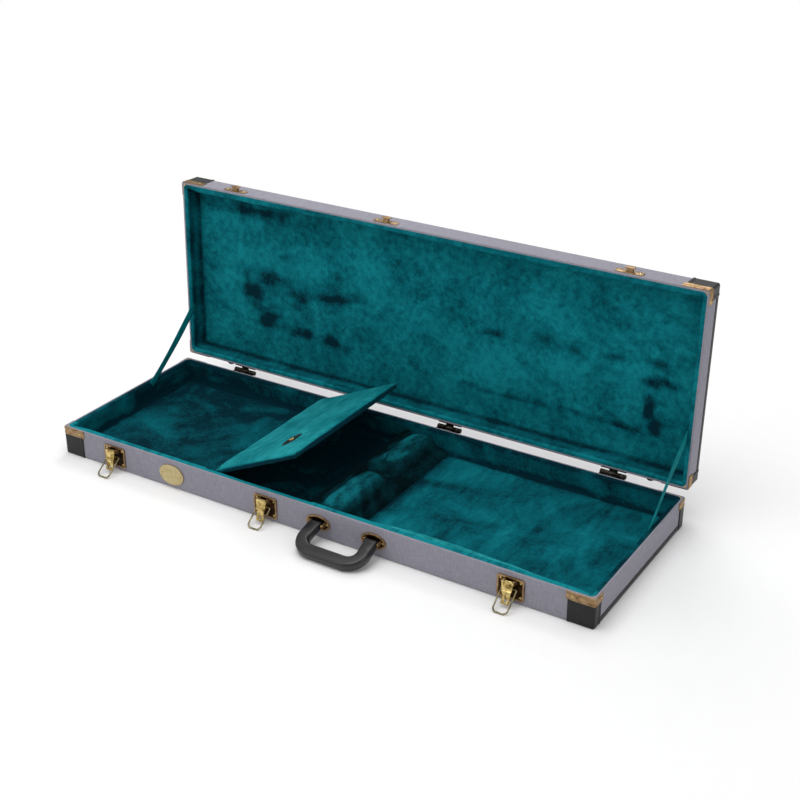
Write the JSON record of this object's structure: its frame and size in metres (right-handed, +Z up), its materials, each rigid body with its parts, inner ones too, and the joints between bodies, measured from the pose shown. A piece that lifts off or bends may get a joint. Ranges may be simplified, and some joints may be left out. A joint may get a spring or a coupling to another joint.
{
  "type": "electric guitar case",
  "caption": "Rectangular hard case for an electric guitar, plush lined, with draw latches, a folding handle, a hinged lid on ribbon stays and a lidded accessory compartment.",
  "frame": {"origin": "middle of the base's underside", "axes": "+X along the case to the end that holds the guitar's body, +Y to the hinged spine, +Z up; the lid stands open"},
  "size_m": [1.0342, 0.4737, 0.4124],
  "materials": {
    "cloth": "closely woven grey-lilac cloth, glued to the plywood",
    "plush": "brushed deep-pile plush, teal",
    "plywood": "bare plywood, hidden by cloth and plush",
    "antique_brass": "antiqued brass plating, dark in the recesses",
    "bright_brass": "polished brass plating",
    "leatherette": "black grained leatherette with a stitched hem",
    "black_leather": "black leather",
    "grip": "black moulded grip, satin",
    "dark_steel": "blackened steel",
    "foot": "black moulded foot",
    "ribbon": "woven ribbon, teal"
  },
  "bodies": {
    "base": {"badge_pins": "antique_brass", "badge_plate": "bright_brass", "base_back_wall": "plywood", "base_bottom_cover": "cloth", "base_bottom_panel": "plywood", "base_corner_clamps": "antique_brass", "base_corner_patches": "leatherette", "base_end_strips": "leatherette", "base_floor_pad": "plush", "base_front_wall": "plywood", "base_left_wall": "plywood", "base_right_wall": "plywood", "base_rivets": "antique_brass", "base_side_cover": "cloth", "base_spine_feet": "foot", "base_wall_lining": "plush", "body_bay_pad": "plush", "compartment_partition": "plush", "handle_left_plate": "antique_brass", "handle_pins": "dark_steel", "handle_right_plate": "antique_brass", "handle_rivets": "antique_brass", "hinge_base_leaves": "dark_steel", "hinge_pins": "dark_steel", "latch_left_plate": "antique_brass", "latch_middle_plate": "antique_brass", "latch_pivot_pins": "dark_steel", "latch_right_plate": "antique_brass", "latch_rivets": "antique_brass", "neck_rest": "plush", "stay_left": "ribbon", "stay_right": "ribbon"},
    "case_lid": {"lid_back_wall": "plywood", "lid_corner_clamps": "antique_brass", "lid_corner_patches": "leatherette", "lid_end_strips": "leatherette", "lid_front_wall": "plywood", "lid_left_wall": "plywood", "lid_right_wall": "plywood", "lid_rivets": "antique_brass", "lid_side_cover": "cloth", "lid_spine_feet": "foot", "lid_top_cover": "cloth", "lid_top_pad": "plush", "lid_top_panel": "plywood", "lid_wall_lining": "plush", "hinge_lid_leaves": "dark_steel", "catches": "antique_brass", "catch_rivets": "antique_brass"},
    "compartment_lid": {"compartment_lid": "plush", "compartment_pull_tab": "black_leather", "compartment_pull_button": "bright_brass"},
    "handle": {"handle_grip": "grip"},
    "lever_left": {"latch_left_lever": "bright_brass"},
    "bail_left": {"latch_left_bail": "bright_brass"},
    "lever_middle": {"latch_middle_lever": "bright_brass"},
    "bail_middle": {"latch_middle_bail": "bright_brass"},
    "lever_right": {"latch_right_lever": "bright_brass"},
    "bail_right": {"latch_right_bail": "bright_brass"}
  },
  "joints": [
    {"name": "lid_hinge", "type": "hinge", "parent": "base", "child": "case_lid", "pos_m": [0, 0.1798, 0.0532], "axis": [1, 0, 0], "range_deg": [0, 91.8], "deforming": ["stay_left", "stay_right"]},
    {"name": "compartment_hinge", "type": "hinge", "parent": "base", "child": "compartment_lid", "pos_m": [-0.187, 0, 0.043], "axis": [0, 1, 0], "range_deg": [-55, 25]},
    {"name": "handle_hinge", "type": "hinge", "parent": "base", "child": "handle", "pos_m": [0.0845, -0.18, 0.028], "axis": [-1, 0, 0], "range_deg": [-57.5, 97.3]},
    {"name": "lever_left_hinge", "type": "hinge", "parent": "base", "child": "lever_left", "pos_m": [-0.398, -0.1786, 0.04], "axis": [1, 0, 0], "range_deg": [-110, 0]},
    {"name": "bail_left_hinge", "type": "hinge", "parent": "lever_left", "child": "bail_left", "pos_m": [-0.398, -0.1756, 0.027], "axis": [-1, 0, 0], "range_deg": [-51.74, 128.26]},
    {"name": "lever_middle_hinge", "type": "hinge", "parent": "base", "child": "lever_middle", "pos_m": [-0.073, -0.1786, 0.04], "axis": [1, 0, 0], "range_deg": [-110, 0]},
    {"name": "bail_middle_hinge", "type": "hinge", "parent": "lever_middle", "child": "bail_middle", "pos_m": [-0.073, -0.1756, 0.027], "axis": [-1, 0, 0], "range_deg": [-51.74, 128.26]},
    {"name": "lever_right_hinge", "type": "hinge", "parent": "base", "child": "lever_right", "pos_m": [0.379, -0.1786, 0.04], "axis": [1, 0, 0], "range_deg": [-110, 0]},
    {"name": "bail_right_hinge", "type": "hinge", "parent": "lever_right", "child": "bail_right", "pos_m": [0.379, -0.1756, 0.027], "axis": [-1, 0, 0], "range_deg": [-51.74, 128.26]}
  ],
  "couplings": [
    {"joint": "compartment_hinge", "follows": "lid_hinge", "ratio": 0.2723}
  ]
}
